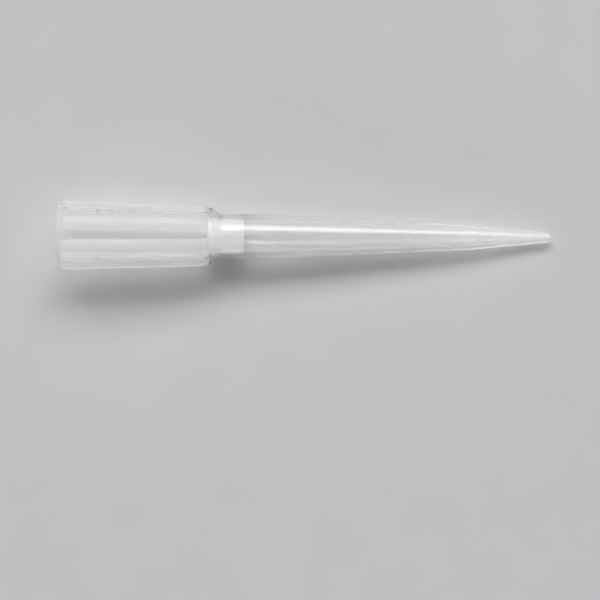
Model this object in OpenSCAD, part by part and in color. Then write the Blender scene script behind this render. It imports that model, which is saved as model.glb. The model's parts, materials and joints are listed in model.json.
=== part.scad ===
// Filtered pipette tip, 100 microlitre size, lying as it comes to rest.
// A moulded conical tube with a ribbed collar, and a porous plug pressed into its neck.
// Each piece is drawn upright, mouth at z = 0 and point at the top, and then laid down.

/* [Tube] */
// Length from the mouth of the collar to the end of the point
tube_length = 51; // [48:0.5:56]
// Thickness of the moulded wall between the ribs
wall = 0.5; // [0.4:0.05:0.6]

/* [Collar] */
// Width over the ribs at the mouth
collar_d = 7.5; // [7.2:0.1:7.8]
// How much narrower the collar is at its lower end than at the mouth
collar_narrowing = 1.06; // [0.8:0.02:1.2]
// Length from the mouth to the foot of the shoulder
collar_length = 16.7; // [15.5:0.1:18]
// Length of the slope that joins the collar to the neck
shoulder_length = 1; // [0.8:0.1:1.5]
// Radius of the rounded outer edge of the mouth
lip_round = 0.14; // [0.08:0.02:0.2]

/* [Ribs] */
// Number of ribs round the collar
rib_count = 8; // [6:2:10]
// Height of a rib above the collar wall
rib_height = 0.34; // [0.24:0.02:0.4]
// Width of a rib where it meets the collar wall
rib_width = 1.42; // [1:0.02:1.6]
// Bare length of the collar between the mouth and the ribs
rib_setback = 0.3; // [0.2:0.1:1]

/* [Socket] */
// Length of the chamfer that leads the pipette's cone into the mouth
lead_in_length = 0.3; // [0.2:0.05:0.5]
// Depth of the sealing ring below the mouth
seal_depth = 4.3; // [3:0.1:6]
// Length of the ring's straight land
seal_length = 1; // [0.8:0.1:2]
// How far the ring stands in from the socket wall
seal_height = 0.1; // [0.06:0.01:0.14]

/* [Neck and point] */
// Outside diameter of the neck at the foot of the shoulder
neck_d = 4.54; // [4.3:0.02:4.7]
// Length of the neck, which is nearly straight
neck_length = 6; // [5:0.5:8]
// Distance from the point's end to the knee where its taper steepens
point_length = 8.5; // [6:0.5:11]
// Outside diameter at the knee
knee_d = 2.6; // [2.4:0.05:2.8]
// Outside diameter at the end of the point
point_d = 0.94; // [0.84:0.02:1.1]
// Diameter of the orifice
orifice_d = 0.46; // [0.4:0.02:0.52]

/* [Plug] */
// Length of the porous plug
plug_length = 3.8; // [3:0.1:5]
// How far the plug stands out of its seat into the socket
plug_proud = 1.2; // [0.5:0.1:1.3]
// Bevel round the plug's ends
plug_bevel = 0.1; // [0.05:0.01:0.15]

/* [Hidden] */
$fn = 120;

draft = 0.01;        // narrowing of a nearly straight wall, per millimetre of length
rib_rise = 0.45;     // length over which a rib rises to its full height
rib_root = 0.12;     // how deep a rib's root reaches into the wall
rib_spare = 1.5;     // how far the slopes that end a rib run on past its back
stop_step = 0.07;    // ledge under the plug
point_bevel = 0.12;  // bevel round the end of the point
lip_steps = 6;       // flats that draw the rounded lip

// Outline of the tube's outside, as [radius, distance from the mouth]
crest_mouth_r = collar_d / 2;
crest_taper = collar_narrowing / 2 / collar_length;
mouth_r = crest_mouth_r - rib_height;
shoulder_z = collar_length - shoulder_length;
neck_r = neck_d / 2;
neck_end_z = collar_length + neck_length;
neck_end_r = neck_r - draft * neck_length / 2;
knee_z = tube_length - point_length;
knee_r = knee_d / 2;
point_r = point_d / 2;
point_end_r = point_r - point_bevel / 2;

function crest_r(z) = crest_mouth_r - crest_taper * z;
function collar_r(z) = crest_r(z) - rib_height;

lip = [for (i = [0 : lip_steps])
    let (a = 90 * i / lip_steps)
    [mouth_r - lip_round + lip_round * sin(a), lip_round - lip_round * cos(a)]];
outside = concat(lip, [
    [collar_r(shoulder_z), shoulder_z],
    [neck_r, collar_length],
    [neck_end_r, neck_end_z],
    [knee_r, knee_z],
    [point_r, tube_length - point_bevel],
    [point_end_r, tube_length],
]);

// Outline of the bore
socket_mouth_r = mouth_r - wall;
seal_end_z = seal_depth + seal_length;
seal_r = collar_r(seal_depth) - wall - seal_height;
seal_slope = 3 * seal_height;
socket_end_z = shoulder_z - wall / 2;
seat_z = collar_length - wall / 2;
seat_r = neck_r - wall;
seat_end_z = seat_z + plug_length - plug_proud;
seat_end_r = seat_r - draft * (seat_end_z - seat_z);
chamber_r = seat_end_r - stop_step;
chamber_end_r = knee_r - wall;
orifice_r = orifice_d / 2;

function socket_r(z) = collar_r(z) - wall;

bore = [
    [0, 0],
    [socket_mouth_r + lead_in_length / 2, 0],
    [socket_r(lead_in_length), lead_in_length],
    [socket_r(seal_depth - seal_slope), seal_depth - seal_slope],
    [seal_r, seal_depth],
    [seal_r, seal_end_z],
    [socket_r(seal_end_z + seal_slope), seal_end_z + seal_slope],
    [socket_r(socket_end_z), socket_end_z],
    [seat_r, seat_z],
    [seat_end_r, seat_end_z],
    [chamber_r, seat_end_z],
    [chamber_r - draft, neck_end_z],
    [chamber_end_r, knee_z],
    [orifice_r, tube_length],
    [0, tube_length],
];

// A rib is a round bar sunk in the wall, and a slope trims each of its ends
rib_pitch = 360 / rib_count;
rib_back_r = (rib_width * rib_width / 4 + rib_height * rib_height) / (2 * rib_height);
rib_lean = atan(crest_taper);
rib_start = [collar_r(rib_setback), rib_setback];
rib_start_top = [crest_r(rib_setback + rib_rise), rib_setback + rib_rise];
rib_end = [(collar_r(shoulder_z) + neck_r) / 2, collar_length - shoulder_length / 2];
rib_end_top = [crest_r(shoulder_z - shoulder_length), shoulder_z - shoulder_length];
rib_limits = [
    rib_start - [rib_root, 0],
    rib_start,
    rib_start + rib_spare * (rib_start_top - rib_start),
    rib_end + rib_spare * (rib_end_top - rib_end),
    rib_end,
    [collar_r(shoulder_z) - rib_root, shoulder_z],
];

// The tube rests on the lower ends of two neighbouring ribs and on its knee or point
heel_z = rib_end_top.y;
heel_r = max(collar_r(heel_z), rib_back_r + (crest_r(heel_z) - rib_back_r) * cos(rib_pitch / 2));
slopes = [for (p = outside) if (p.y > collar_length) (heel_r - p.x) / (p.y - heel_z)];
lie_angle = atan(min(slopes));
axis_height = heel_r * cos(lie_angle) + heel_z * sin(lie_angle);
low_x = -(mouth_r - lip_round) * sin(lie_angle);
high_x = tube_length * cos(lie_angle) + point_end_r * sin(lie_angle);

module lie_down() {
    translate([-(low_x + high_x) / 2, 0, axis_height])
        rotate([0, 90 + lie_angle, 0])
            children();
}

module collar_rib() {
    translate([crest_mouth_r, 0, 0]) rotate([0, -rib_lean, 0])
        translate([-rib_back_r, 0, 0]) cylinder(r = rib_back_r, h = collar_length);
}

module tube() {
    color([0.9, 0.91, 0.92, 0.55]) lie_down() difference() {
        union() {
            rotate_extrude() polygon(concat([[0, 0]], outside, [[0, tube_length]]));
            intersection() {
                rotate_extrude() polygon(rib_limits);
                for (i = [0 : rib_count - 1]) rotate((i + 0.5) * rib_pitch) collar_rib();
            }
        }
        rotate_extrude() polygon(bore);
    }
}

module filter_plug() {
    top_z = seat_z - plug_proud;
    color([0.97, 0.97, 0.97]) lie_down() rotate_extrude() polygon([
        [0, top_z],
        [seat_r - plug_bevel, top_z],
        [seat_r, top_z + plug_bevel],
        [seat_r, seat_z],
        [seat_end_r, seat_end_z],
        [0, seat_end_z],
    ]);
}

tube();
filter_plug();
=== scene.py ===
# A filtered pipette tip on a pale table, at rest on its ribbed collar and the knee of its taper.
# All is in metres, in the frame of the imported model: mouth towards -X, point towards +X, +Z up.
import json
import math

import bmesh
import bpy
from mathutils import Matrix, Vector


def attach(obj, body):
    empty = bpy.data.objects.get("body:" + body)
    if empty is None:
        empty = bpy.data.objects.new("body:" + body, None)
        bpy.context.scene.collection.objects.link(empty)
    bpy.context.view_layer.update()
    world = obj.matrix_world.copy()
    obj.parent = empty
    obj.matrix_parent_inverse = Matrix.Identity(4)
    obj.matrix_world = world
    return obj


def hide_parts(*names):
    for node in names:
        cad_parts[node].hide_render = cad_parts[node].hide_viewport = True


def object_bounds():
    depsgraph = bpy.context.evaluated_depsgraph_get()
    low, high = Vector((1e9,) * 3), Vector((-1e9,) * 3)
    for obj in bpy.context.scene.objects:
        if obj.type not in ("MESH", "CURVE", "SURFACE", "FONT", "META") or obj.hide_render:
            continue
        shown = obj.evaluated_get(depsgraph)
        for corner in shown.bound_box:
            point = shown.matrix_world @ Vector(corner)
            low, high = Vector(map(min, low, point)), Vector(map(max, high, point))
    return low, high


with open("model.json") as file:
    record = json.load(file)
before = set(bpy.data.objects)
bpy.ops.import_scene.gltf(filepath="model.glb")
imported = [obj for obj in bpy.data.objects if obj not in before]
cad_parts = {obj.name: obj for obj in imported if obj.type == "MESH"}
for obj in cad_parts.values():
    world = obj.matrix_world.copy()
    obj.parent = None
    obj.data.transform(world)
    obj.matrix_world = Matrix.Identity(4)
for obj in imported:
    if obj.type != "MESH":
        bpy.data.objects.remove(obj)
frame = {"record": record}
cad_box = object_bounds()

# ------------------------------------------------------------------------------------------------
# The camera looks straight down through a long lens, so both ends of the tip show at one scale.
# It stands a little in front of the tip, which leaves more of the table on the near side.
# ------------------------------------------------------------------------------------------------
middle = (cad_box[0] + cad_box[1]) / 2
to_mouth_side, to_front, camera_height = 0.0005, 0.00658, 0.2095
lens = bpy.data.cameras.new("camera")
lens.lens, lens.sensor_width = 120, 36
lens.clip_start, lens.clip_end = 0.01, 20
camera = bpy.data.objects.new("camera", lens)
bpy.context.scene.collection.objects.link(camera)
camera.location = (middle.x - to_mouth_side, -to_front, camera_height)
camera.rotation_euler = (0, 0, math.radians(0.2))
bpy.context.scene.camera = camera

# ------------------------------------------------------------------------------------------------
# The tube: one injection moulding in natural polypropylene. The cavity forms the rounded lip, the
# eight ribs of the collar, the shoulder, the neck and the taper. The core pin forms the bore: the
# socket with its sealing ring, the seat of the plug and the chamber down to the orifice.
# ------------------------------------------------------------------------------------------------
MM = 0.001
columns = 384                        # round the tube, 48 to each rib
rib_pitch = math.radians(45)

# The tube's figures are in mm. Outlines are [z, radius], and z is the distance from the mouth.
ring_depth = 4.8                     # from the mouth to the middle of the sealing ring
crest_at_mouth, crest_slope = 3.75, 0.03174
rib_height = 0.34                    # from the collar's wall to the crest of a rib
socket_depth = 0.84                  # from the crest of a rib in to the wall of the socket
rib_back = 0.83                      # radius of a rib's rounded back
rib_fillet = 0.035                   # softens the corner where a rib meets the wall
fillet_reach = 0.1                   # a rib's back still shapes the wall from this deep in it
rib_start, rib_end = 0.3, 16.2
start_run, end_run = 0.05, 0.1       # lengths over which a rib's two ends fade into the wall


def crest(z):
    """Radius over the ribs, at a distance z from the mouth."""
    return crest_at_mouth - crest_slope * z


def between(z, stations):
    """Value at z on a line of [z, value] stations."""
    for (z0, r0), (z1, r1) in zip(stations, stations[1:]):
        if z <= z1:
            return r0 + (r1 - r0) * (z - z0) / (z1 - z0)
    return stations[-1][1]


start_slope = [(rib_start, crest(rib_start) - rib_height), (0.75, crest(0.75)), (1.0, 4.2)]
end_slope = [(14.7, crest(14.7)), (rib_end, 2.591), (16.7, 2.36)]


def rib(z, angle):
    """Radius of a rib's back at an angle from its middle, with the slopes that end it."""
    reach = crest(z) - rib_back
    inside_back = rib_back ** 2 - (reach * math.sin(angle)) ** 2
    if inside_back <= 0:
        return 0
    back = reach * math.cos(angle) + math.sqrt(inside_back)
    if z < start_slope[-1][0]:
        back = min(back, between(z, start_slope))
    elif z > end_slope[0][0]:
        back = min(back, between(z, end_slope))
    return back


def select_ring(z):
    """Selects only the vertices at a distance z from the mouth."""
    bpy.ops.mesh.select_all(action="DESELECT")
    mesh = bmesh.from_edit_mesh(bpy.context.object.data)
    for vertex in mesh.verts:
        if abs(vertex.co.z - z * MM) < 1e-7:
            vertex.select_set(True)
    mesh.select_flush(True)


def carry_on(stations):
    """Extrudes the selected open rim from station to station, each [z, radius]."""
    for z, radius in stations:
        mesh = bmesh.from_edit_mesh(bpy.context.object.data)
        rim = next(v for v in mesh.verts if v.select)
        step, scale = z * MM - rim.co.z, radius * MM / rim.co.xy.length
        bpy.ops.mesh.extrude_edges_move(TRANSFORM_OT_translate={"value": (0, 0, step)})
        bpy.ops.transform.resize(value=(scale, scale, 1), center_override=(0, 0, z * MM))


# The collar's wall is drawn first, without its ribs, on rings that lie closest where the ribs end.
lip_inside = 3.28
lip = [(0.012, 3.325), (0.045, 3.372), (0.09, 3.398), (0.14, 3.406)]
collar_wall = [(0, crest(0) - rib_height), (15.7, crest(15.7) - rib_height), (16.7, 2.27)]
collar_rings = [0.22, 0.3, 0.34, 0.38, 0.42, 0.46, 0.5, 0.56, 0.62, 0.68, 0.74, 0.8, 0.9, 1.2]
collar_rings += [2 + 0.78 * i for i in range(16)]
collar_rings += [14.2, 14.5, 14.6, 14.7, 14.8, 14.95, 15.2, 15.45, 15.6, 15.7, 15.8, 15.95]
collar_rings += [16.1, 16.2, 16.3]
bpy.ops.object.select_all(action="DESELECT")
bpy.ops.mesh.primitive_circle_add(vertices=columns, radius=lip_inside * MM)
tube = bpy.context.object
tube.name = "moulded_tube"
bpy.ops.object.mode_set(mode="EDIT")
bpy.ops.mesh.select_all(action="SELECT")
carry_on(lip + [(z, between(z, collar_wall)) for z in collar_rings])

# Then the ribs swell out of it. The vertices that lie alike on every rib are moved together.
mesh = bmesh.from_edit_mesh(tube.data)
alike = {}
for vertex in mesh.verts:
    off_middle = abs(math.atan2(vertex.co.y, vertex.co.x) % rib_pitch - rib_pitch / 2)
    z, wall = vertex.co.z / MM, vertex.co.xy.length / MM
    back = rib(z, off_middle) if rib_start <= z <= rib_end else 0
    if back > wall - fillet_reach:
        swell = (back + wall + math.sqrt((back - wall) ** 2 + rib_fillet ** 2)) / 2
        fade = min(1, max(0, (z - rib_start) / start_run)) * min(1, max(0, (rib_end - z) / end_run))
        swell = wall + (swell - wall) * fade
        place = (round(z, 4), round(off_middle, 5))
        alike.setdefault(place, (swell / wall, []))[1].append(vertex.index)
bpy.ops.mesh.select_all(action="DESELECT")
for (z, off_middle), (scale, members) in alike.items():
    mesh = bmesh.from_edit_mesh(tube.data)
    mesh.verts.ensure_lookup_table()
    for i in members:
        mesh.verts[i].select_set(True)
    bpy.ops.transform.resize(value=(scale, scale, 1), center_override=(0, 0, z * MM))
    for i in members:
        mesh.verts[i].select_set(False)

# Down the outside from the shoulder to the point
select_ring(collar_rings[-1])
carry_on([(16.4, 2.463), (16.56, 2.362), (16.65, 2.31), (16.73, 2.28)])               # shoulder
carry_on([(16.85, 2.269), (17.4, 2.266), (19, 2.258), (22.4, 2.2415), (22.7, 2.237)])  # neck
carry_on([(23.0, 2.223), (28, 1.988), (34, 1.703), (40, 1.419), (42.2, 1.314)])       # taper
carry_on([(42.5, 1.298), (42.8, 1.27), (45, 1.052), (48, 0.755), (50.8, 0.48)])       # knee
carry_on([(50.88, 0.468), (50.95, 0.445), (51, 0.405)])                               # point

# And back up the bore from the orifice to the mouth
carry_on([(51, 0.245), (50.97, 0.232), (50.8, 0.233)])                                # orifice
carry_on([(43, 0.767), (42.5, 0.801), (42, 0.823), (23, 1.648), (22.7, 1.660)])       # chamber
carry_on([(22.4, 1.6655), (19.1, 1.673), (19.06, 1.694), (19.05, 1.734)])             # ledge
carry_on([(19.02, 1.7445), (17.2, 1.7625), (16.6, 1.769), (16.45, 1.778)])            # plug's seat
carry_on([(16.32, 1.855), (15.55, 2.355), (15.45, 2.413), (15.3, 2.4244)])
carry_on([(z, crest(z) - socket_depth) for z in (14, 12, 9, 7, 5.8, 5.63)])           # socket
carry_on([(5.5, 2.70), (5.36, 2.682), (5.25, 2.6737), (4.8, 2.6735)])                 # ring
carry_on([(4.35, 2.6737), (4.24, 2.682), (4.1, 2.722)])
carry_on([(z, crest(z) - socket_depth) for z in (3.97, 3.8, 3, 2, 1, 0.42, 0.33)])
carry_on([(0.27, 2.915), (0.04, 3.035), (0.01, 3.06), (0, 3.10)])                     # lead-in
bpy.ops.mesh.select_all(action="SELECT")
bpy.ops.mesh.remove_doubles(threshold=1e-8)
select_ring(0)
bpy.ops.mesh.bridge_edge_loops()
bpy.ops.mesh.select_all(action="SELECT")
bpy.ops.mesh.normals_make_consistent(inside=False)
bpy.ops.object.mode_set(mode="OBJECT")

# How cloudy the wall is: 0 where it is thin and clear, 1 where a whole rib backs it
neck_cloud = [(15.9, 0.22), (16.4, 0.22), (19.2, 0.27), (20.2, 0.54), (30, 0.54), (45, 0.68),
              (51, 0.84)]
collar_end_cloud = [(0.3, 0.5), (0.6, 0), (15.3, 0), (15.9, 0.22)]
cloud = tube.data.attributes.new("cloud", "FLOAT", "POINT")
for vertex in tube.data.vertices:
    off_middle = abs(math.atan2(vertex.co.y, vertex.co.x) % rib_pitch - rib_pitch / 2)
    z = vertex.co.z / MM
    if z > neck_cloud[0][0]:
        depth = between(z, neck_cloud)
    elif z > rib_start:
        depth = max(0, rib(z, off_middle) - between(z, collar_wall)) / rib_height
        depth = max(depth, between(z, collar_end_cloud))
    else:
        depth = collar_end_cloud[0][1]
    cloud.data[vertex.index].value = min(1, depth)

# The finished moulding is laid down on the axis of the nozzle mount, and only edges that turn by
# more than the crease look sharp.
nozzle = next(m for m in frame["record"]["mounts"] if m["name"] == "nozzle_bore")
out_of_mouth = Vector(nozzle["axis"]).normalized()
mouth = Vector(nozzle["pos_m"]) + out_of_mouth * ring_depth * MM
laid_down = (0, math.pi / 2 + math.asin(out_of_mouth.z), 0)
crease = math.radians(40)
tube.rotation_euler = laid_down
tube.location = mouth
bpy.ops.object.transform_apply(location=True, rotation=True, scale=True)
bpy.ops.object.shade_smooth_by_angle(angle=crease)

# A fine random grain, about 1/Scale metres across, drawn out along the part by Stretch
grain = bpy.data.node_groups.new("fine_grain", "ShaderNodeTree")
for name, value in (("Scale", 1000), ("Stretch", 1), ("Detail", 2), ("Low", 0), ("High", 1)):
    socket = grain.interface.new_socket(name, in_out="INPUT", socket_type="NodeSocketFloat")
    socket.default_value = value
for name in ("Height", "Value"):
    grain.interface.new_socket(name, in_out="OUTPUT", socket_type="NodeSocketFloat")
nodes, links = grain.nodes, grain.links
given, result = nodes.new("NodeGroupInput"), nodes.new("NodeGroupOutput")
place = nodes.new("ShaderNodeTexCoord")
stretch = nodes.new("ShaderNodeCombineXYZ")
stretch.inputs["Y"].default_value = stretch.inputs["Z"].default_value = 1
drawn_out = nodes.new("ShaderNodeVectorMath")
drawn_out.operation = "DIVIDE"
noise = nodes.new("ShaderNodeTexNoise")
spread = nodes.new("ShaderNodeMapRange")
spread.inputs["From Min"].default_value, spread.inputs["From Max"].default_value = 0.3, 0.7
for start, end in (
        (given.outputs["Stretch"], stretch.inputs["X"]),
        (place.outputs["Object"], drawn_out.inputs[0]),
        (stretch.outputs[0], drawn_out.inputs[1]),
        (drawn_out.outputs[0], noise.inputs["Vector"]),
        (given.outputs["Scale"], noise.inputs["Scale"]),
        (given.outputs["Detail"], noise.inputs["Detail"]),
        (noise.outputs["Fac"], spread.inputs["Value"]),
        (given.outputs["Low"], spread.inputs["To Min"]),
        (given.outputs["High"], spread.inputs["To Max"]),
        (noise.outputs["Fac"], result.inputs["Height"]),
        (spread.outputs[0], result.inputs["Value"])):
    links.new(start, end)


def grained(tree, scale, stretch, detail, low, high):
    """Places the grain in a material with its own values."""
    group = tree.nodes.new("ShaderNodeGroup")
    group.node_tree = grain
    for socket, value in zip(group.inputs, (scale, stretch, detail, low, high)):
        socket.default_value = value
    return group


def feed(tree, value, socket):
    """Gives a socket its value, which is a number or another node's output."""
    if isinstance(value, (int, float)):
        socket.default_value = value
    else:
        tree.links.new(value, socket)


def joined(tree, operation, *values):
    """A Math node's result for its sockets or numbers."""
    node = tree.nodes.new("ShaderNodeMath")
    node.operation = operation
    for value, socket in zip(values, node.inputs):
        feed(tree, value, socket)
    return node.outputs[0]


def ramp(tree, value, start, end, at_start, at_end):
    """Runs from at_start to at_end while the value runs from start to end."""
    node = tree.nodes.new("ShaderNodeMapRange")
    feed(tree, value, node.inputs["Value"])
    for name, limit in (("From Min", start), ("From Max", end),
                        ("To Min", at_start), ("To Max", at_end)):
        node.inputs[name].default_value = limit
    return node.outputs[0]


def mixed(tree, share, first, second):
    """The first shader, with the second in its place by a share from 0 to 1."""
    node = tree.nodes.new("ShaderNodeMixShader")
    for value, socket in zip((share, first, second), node.inputs):
        feed(tree, value, socket)
    return node.outputs[0]


def raised(tree, shader, height, tall):
    """Gives a shader's surface a relief, which stands tall metres high where the height is 1."""
    relief = tree.nodes.new("ShaderNodeBump")
    relief.inputs["Distance"].default_value = tall
    tree.links.new(height, relief.inputs["Height"])
    tree.links.new(relief.outputs[0], shader.inputs["Normal"])


plastic = bpy.data.materials.new("natural_polypropylene")
plastic.use_nodes = True
tree = plastic.node_tree
nodes, links = tree.nodes, tree.links
clear = nodes["Principled BSDF"]
clear.inputs["Base Color"].default_value = (0.98, 0.98, 0.98, 1)
clear.inputs["IOR"].default_value = 1.49
clear.inputs["Specular Tint"].default_value = (0.8, 0.8, 0.8, 1)
clear.inputs["Transmission Weight"].default_value = 1
thickness = nodes.new("ShaderNodeAttribute")
thickness.attribute_name = "cloud"
place = nodes.new("ShaderNodeTexCoord")
along = nodes.new("ShaderNodeSeparateXYZ")
links.new(place.outputs["Object"], along.inputs[0])

# The collar's cavity is spark-eroded to a satin, and the cavity of the neck and taper is polished.
# The one gives way to the other at the shoulder, in metres along the part. The thin wall between
# two ribs is glossier than the ribs.
satin = ramp(tree, along.outputs["X"], start=-0.0107, end=-0.0096, at_start=1, at_end=0)
satin.node.interpolation_type = "SMOOTHSTEP"
skin = grained(tree, scale=11000, stretch=1, detail=2, low=0.9, high=1.1)
polish = joined(tree, "MULTIPLY_ADD", satin, 0.41, 0.17)
edge = ramp(tree, thickness.outputs["Fac"], start=0, end=0.18, at_start=0.42, at_end=1)
roughness = joined(tree, "MULTIPLY", joined(tree, "MULTIPLY", polish, edge), skin.outputs["Value"])
links.new(roughness, clear.inputs["Roughness"])
skin_share = joined(tree, "ADD", satin, 0.2)
texture = joined(tree, "MULTIPLY", skin.outputs["Height"], skin_share)
raised(tree, clear, texture, tall=0.000002)

# Resin scatters light like milk, more of it where the wall is thicker, with faint streaks where
# the melt flowed down the cavity.
milk_white = (0.97, 0.97, 0.97, 1)
through = nodes.new("ShaderNodeBsdfTranslucent")
through.inputs["Color"].default_value = milk_white
back = nodes.new("ShaderNodeBsdfDiffuse")
back.inputs["Color"].default_value = milk_white
milky = mixed(tree, 0.6, through.outputs[0], back.outputs[0])
milkiness = joined(tree, "POWER", thickness.outputs["Fac"], 1.6)
haze = ramp(tree, milkiness, start=0, end=1, at_start=0.01, at_end=0.46)
flow = grained(tree, scale=2600, stretch=40, detail=1, low=0.95, high=1.05)
milk_share = joined(tree, "MULTIPLY", haze, flow.outputs["Value"])
wall = mixed(tree, milk_share, clear.outputs[0], milky)

# The lamps' light passes through to the inside and the shadow. It is dimmed most by the ribs and
# least by the thin end of the taper.
dimming = ramp(tree, milkiness, start=0, end=1, at_start=0.64, at_end=0.33)
thin = ramp(tree, along.outputs["X"], start=0.008, end=0.02, at_start=0, at_end=0.14)
lamp_light = nodes.new("ShaderNodeBsdfTransparent")
links.new(joined(tree, "ADD", dimming, thin), lamp_light.inputs["Color"])
path = nodes.new("ShaderNodeLightPath")
surface = mixed(tree, path.outputs["Is Shadow Ray"], wall, lamp_light.outputs[0])
links.new(surface, nodes["Material Output"].inputs["Surface"])
tube.data.materials.append(plastic)
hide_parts("tube")
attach(tube, "root")

# ------------------------------------------------------------------------------------------------
# The filter plug: a short rod of white sintered polyethylene, cut to length and pressed into the
# neck until a millimetre of it still stands in the socket.
# ------------------------------------------------------------------------------------------------
proud_end, end_flat = 15.25, 1.62    # z and flat radius of the end in the socket, in mm as above
bpy.ops.object.select_all(action="DESELECT")
bpy.ops.mesh.primitive_circle_add(vertices=96, radius=end_flat * MM, fill_type="TRIFAN")
plug = bpy.context.object
plug.name = "filter_rod"
bpy.ops.object.mode_set(mode="EDIT")
bpy.ops.mesh.select_all(action="SELECT")
bpy.ops.transform.translate(value=(0, 0, proud_end * MM))
select_ring(proud_end)
mesh = bmesh.from_edit_mesh(plug.data)
for vertex in mesh.verts:
    if vertex.co.xy.length < 1e-6:
        vertex.select_set(False)
mesh.select_flush(False)
carry_on([(15.28, 1.70), (15.35, 1.755), (16.45, 1.76), (18.95, 1.735), (19.02, 1.704),
          (19.05, 1.6)])
bpy.ops.mesh.edge_face_add()
bpy.ops.mesh.select_all(action="SELECT")
bpy.ops.mesh.normals_make_consistent(inside=False)
bpy.ops.object.mode_set(mode="OBJECT")
plug.rotation_euler = laid_down
plug.location = mouth
bpy.ops.object.transform_apply(location=True, rotation=True, scale=True)
bpy.ops.object.shade_smooth_by_angle(angle=crease)

# Beads of 0.15 mm are fused where they touch, with pores between, and light soaks through them. The
# white is painted darker in the pores between the beads: painted shade.
beads = bpy.data.materials.new("sintered_polyethylene")
beads.use_nodes = True
tree = beads.node_tree
nodes, links = tree.nodes, tree.links
body = nodes["Principled BSDF"]
body.inputs["Roughness"].default_value = 0.9
body.inputs["Specular IOR Level"].default_value = 0.2
place = nodes.new("ShaderNodeTexCoord")
packing = nodes.new("ShaderNodeTexVoronoi")
packing.inputs["Scale"].default_value = 6500
links.new(place.outputs["Object"], packing.inputs["Vector"])
bead = joined(tree, "SUBTRACT", 1, packing.outputs["Distance"])
raised(tree, body, bead, tall=0.00002)
# Painted shade: the base colour falls from 0.99 on a bead to 0.92 between the beads, in the pores.
pore_shade = ramp(tree, bead, start=0.2, end=0.6, at_start=0.92, at_end=0.99)
sinter = grained(tree, scale=900, stretch=1, detail=2, low=0.98, high=1.0)
shade = joined(tree, "MULTIPLY", pore_shade, sinter.outputs["Value"])
white = nodes.new("ShaderNodeCombineColor")
for channel in white.inputs[:3]:
    links.new(shade, channel)
links.new(white.outputs[0], body.inputs["Base Color"])
glow = nodes.new("ShaderNodeBsdfTranslucent")
glow.inputs["Color"].default_value = milk_white
porous = mixed(tree, 0.62, body.outputs[0], glow.outputs[0])
links.new(porous, nodes["Material Output"].inputs["Surface"])
plug.data.materials.append(beads)
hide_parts("filter_plug")
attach(plug, "root")

# ------------------------------------------------------------------------------------------------
# The table, and the light: one wide soft lamp from the far side, a narrow strip lamp opposite, a
# low card that lights the near side but is not seen through the tip, and a plain pale room.
# ------------------------------------------------------------------------------------------------
bpy.ops.mesh.primitive_plane_add(size=3)
table = bpy.context.object
table.name = "table"
top = bpy.data.materials.new("table_top")
top.use_nodes = True
tree = top.node_tree
nodes, links = tree.nodes, tree.links
board = nodes["Principled BSDF"]
board.inputs["Roughness"].default_value = 0.9
board.inputs["Specular IOR Level"].default_value = 0.1
mottle = grained(tree, scale=160, stretch=1, detail=3, low=0.695, high=0.711)
grey = nodes.new("ShaderNodeCombineColor")
for channel, tint in zip(grey.inputs[:3], (1.01, 1.005, 1.02)):
    links.new(joined(tree, "MULTIPLY", mottle.outputs["Value"], tint), channel)
links.new(grey.outputs[0], board.inputs["Base Color"])
tooth = grained(tree, scale=5000, stretch=1, detail=2, low=0, high=1)
raised(tree, board, tooth.outputs["Height"], tall=0.000006)
table.data.materials.append(top)

# Each lamp's length, depth, watts and distance, and its degrees up and round from the far side
for name, length, depth, watts, distance, up, round_from_far in (
        ("softbox", 2.2, 0.8, 41.5, 2, 46, 0),
        ("strip", 2.2, 0.1, 3.5, 2, 52, 180),
        ("fill_card", 1.2, 0.25, 2.2, 0.9, 8, 180)):
    light = bpy.data.lights.new(name, "AREA")
    light.shape = "RECTANGLE"
    light.size, light.size_y, light.energy = length, depth, watts
    lamp = bpy.data.objects.new(name, light)
    bpy.context.scene.collection.objects.link(lamp)
    up, side = math.radians(up), math.radians(round_from_far)
    towards = Vector((math.sin(side) * math.cos(up), math.cos(side) * math.cos(up), math.sin(up)))
    lamp.location = middle + distance * towards
    lamp.visible_transmission = name != "fill_card"
    lamp.rotation_euler = (middle - lamp.location).to_track_quat("-Z", "Y").to_euler()

# The room's walls are paler than its ceiling. It is seen so by the eye, in gloss and through clear
# plastic. It sheds far less light than that on the part, and none through the tip on the table.
share_shed = 0.04
room = bpy.data.worlds.new("room")
room.use_nodes = True
tree = room.node_tree
nodes, links = tree.nodes, tree.links
direction = nodes.new("ShaderNodeTexCoord")
upward = nodes.new("ShaderNodeSeparateXYZ")
links.new(direction.outputs["Generated"], upward.inputs[0])
path = nodes.new("ShaderNodeLightPath")
walls = ramp(tree, upward.outputs["Z"], start=0, end=1, at_start=1.6, at_end=0.8)
seen_walls = ramp(tree, upward.outputs["Z"], start=0, end=1, at_start=0.8, at_end=0.5)
looking = joined(tree, "MAXIMUM", path.outputs["Is Camera Ray"], path.outputs["Is Glossy Ray"])
looking = joined(tree, "MAXIMUM", looking, path.outputs["Is Transmission Ray"])
before_matt = joined(tree, "LESS_THAN", path.outputs["Diffuse Depth"], 0.5)
after_matt = joined(tree, "SUBTRACT", 1, before_matt)
seen = joined(tree, "MULTIPLY", looking, before_matt)
shed_through = joined(tree, "MULTIPLY", path.outputs["Is Transmission Ray"], after_matt)
shed = joined(tree, "MULTIPLY", walls, share_shed)
shed = joined(tree, "MULTIPLY", shed, joined(tree, "SUBTRACT", 1, shed_through))
shed = joined(tree, "MULTIPLY", shed, joined(tree, "SUBTRACT", 1, seen))
strength = joined(tree, "ADD", shed, joined(tree, "MULTIPLY", seen_walls, seen))
links.new(strength, nodes["Background"].inputs["Strength"])
nodes["Background"].inputs["Color"].default_value = (1, 1, 1, 1)
bpy.context.scene.world = room
bpy.context.scene.view_settings.view_transform = "Standard"

bpy.context.view_layer.update()
